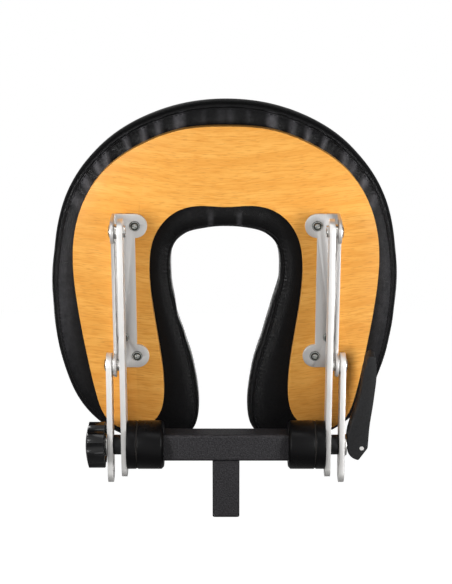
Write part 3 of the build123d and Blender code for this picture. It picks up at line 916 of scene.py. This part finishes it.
def sewSeam(cover, settings, look):
    # short dashes of thread lying in the groove just inside the seam
    surface = BVHTree.FromObject(cover, bpy.context.evaluated_depsgraph_get())
    whole = bmesh.new()
    size = Matrix.Diagonal((look["length"] * mm, look["width"] * mm, look["height"] * mm, 1))
    for side in (-1, 1):
        for place, ahead in seamPlaces(settings, look["inset"], stitchPitch, side):
            sideways = side * place.x + readOff(settings["sway"], place.y)
            spot = drawing @ (Vector((sideways, settings["back"] - look["below"], place.y)) * mm)
            hit, normal, _, _ = surface.ray_cast(spot, outward, look["search"] * mm)
            if hit is None:
                continue
            along = drawing.to_3x3() @ Vector((side * ahead.x, 0, ahead.y))
            along = (along - normal * along.dot(normal)).normalized()
            across = normal.cross(along)
            stand = Matrix((along, across, normal)).transposed().to_4x4()
            stand.translation = hit
            made = bmesh.ops.create_cube(whole, size=1)
            bmesh.ops.transform(whole, matrix=stand @ size, verts=made["verts"])
    bmesh.ops.bevel(whole, geom=whole.edges[:], offset=look["round"] * mm, offset_type="OFFSET",
                    segments=1, profile=0.5, affect="EDGES", material=-1)
    newPiece("cushion_stitches", whole, "headrest", [threadBlack], place=False)


coverForm = cushionForm(cushion)
coverPiece = newPiece("cushion", coverForm, "headrest", [leather])
inflate(coverPiece, cushion)
refine(coverPiece)
gatherFolds(coverPiece, cushion)
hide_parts("cushion_cover", "cushion_foam")
stitching = {"inset": 6.4, "length": 2.6, "width": 0.7, "height": 0.45, "round": 0.16,  # mm
             "below": 4, "search": 10}  # mm, where the look for the surface starts and how far it goes
sewSeam(coverPiece, cushion, stitching)
print("cushion:", len(coverPiece.data.polygons), "faces, with its seam sewn")


# camera, light and floor
view = {"distance": 1.28912, "height": 0.37838, "pitch": 10.3, "lens": 88.58}  # m, m, degrees, mm
camera = bpy.data.objects.new("camera", bpy.data.cameras.new("camera"))
camera.data.sensor_fit = "VERTICAL"
camera.data.sensor_height = 36
camera.data.lens = view["lens"]
camera.location = rodAxis + Vector((0, -view["distance"], view["height"]))
camera.rotation_euler = (math.radians(90 - view["pitch"]), 0, 0)
bpy.context.collection.objects.link(camera)
bpy.context.scene.camera = camera


def areaLamp(name, place, aim, size, power):
    data = bpy.data.lights.new(name, "AREA")
    data.shape = "RECTANGLE"
    data.size, data.size_y = size
    data.energy = power
    lamp = bpy.data.objects.new(name, data)
    lamp.location = place
    lamp.rotation_euler = (Vector(aim) - Vector(place)).to_track_quat("-Z", "Y").to_euler()
    bpy.context.collection.objects.link(lamp)


# name, place, aim, size, watts
lamps = [
    ("leftLamp", (-0.44, -0.36, 0.24), (0, 0.03, 0.20), (0.12, 0.26), 2.85),
    ("rightLamp", (0.44, -0.36, 0.24), (0, 0.03, 0.20), (0.12, 0.26), 2.85),
    ("topLamp", (0, -0.45, 0.95), (0, 0, 0.2), (0.6, 0.24), 1.1),
    ("rearLamp", (0, 1.2, -0.07), (0, 0.1, 0.12), (1.6, 0.2), 4.0),
]
for settings in lamps:
    areaLamp(*settings)

backdrop = {
    "colour": (0.35, 0.35, 0.35), "level": -0.40, "size": 6.0,  # of the floor, in m
    "lighting": 0.025,   # of the world on the object
    "floorGlow": 0.98,   # what the eye sees beside the lamps' light
    "floorMirrored": (-1.1, -0.4, 0.62, 0.06),  # bright in front, dark beneath the object
    # how bright each direction looks in reflections, from the front round to the wall behind
    "mirrored": [(0.0, 0.85), (0.2, 0.6), (0.38, 0.06), (0.7, 0.04), (0.9, 0.2), (1.0, 0.4)],
}


def whiteWorld():
    # plain white to the eye, a studio with dark sides in reflections, and dimmer as a light
    world = bpy.data.worlds.new("studio")
    world.use_nodes = True
    tree = world.node_tree
    shade = tree.nodes["Background"]
    shade.inputs["Color"].default_value = (1, 1, 1, 1)
    path = addNode(tree, "ShaderNodeLightPath").outputs
    axes = axesOf(tree, addNode(tree, "ShaderNodeTexCoord").outputs["Generated"])
    mirrored = levels(tree, mapRange(tree, axes["Y"], -1.0, 1.0), backdrop["mirrored"])
    lit = mixed(tree, backdrop["lighting"], mirrored, path["Is Glossy Ray"], kind="FLOAT")
    seen = mathNode(tree, "MAXIMUM", path["Is Camera Ray"], path["Is Transmission Ray"])
    link(tree, mixed(tree, lit, 1.0, seen, kind="FLOAT"), shade.inputs["Strength"])
    bpy.context.scene.world = world


def paleFloor():
    # the floor keeps the shadow and otherwise lets the white behind it show
    bm = bmesh.new()
    bmesh.ops.create_grid(bm, x_segments=1, y_segments=1, size=backdrop["size"] / 2)
    bmesh.ops.translate(bm, verts=bm.verts, vec=(0, 0, backdrop["level"]))
    mesh = bpy.data.meshes.new("floor")
    bm.to_mesh(mesh)
    bm.free()
    floor = bpy.data.objects.new("floor", mesh)
    bpy.context.collection.objects.link(floor)
    material, tree, shader = startMaterial("paleFloor", backdrop["colour"], 0.9)
    shader.inputs["Emission Color"].default_value = (1, 1, 1, 1)
    path = addNode(tree, "ShaderNodeLightPath").outputs
    front = mapRange(tree, axesOf(tree, objectPlace(tree))["Y"], *backdrop["floorMirrored"])
    mirrored = mathNode(tree, "MULTIPLY", path["Is Glossy Ray"], front)
    seen = mathNode(tree, "MAXIMUM", path["Is Camera Ray"], path["Is Transmission Ray"])
    level = mathNode(tree, "MULTIPLY_ADD", seen, backdrop["floorGlow"], mirrored)
    link(tree, level, shader.inputs["Emission Strength"])
    mesh.materials.append(material)


whiteWorld()
paleFloor()
bpy.context.scene.view_settings.view_transform = "Standard"
print("camera and light placed")
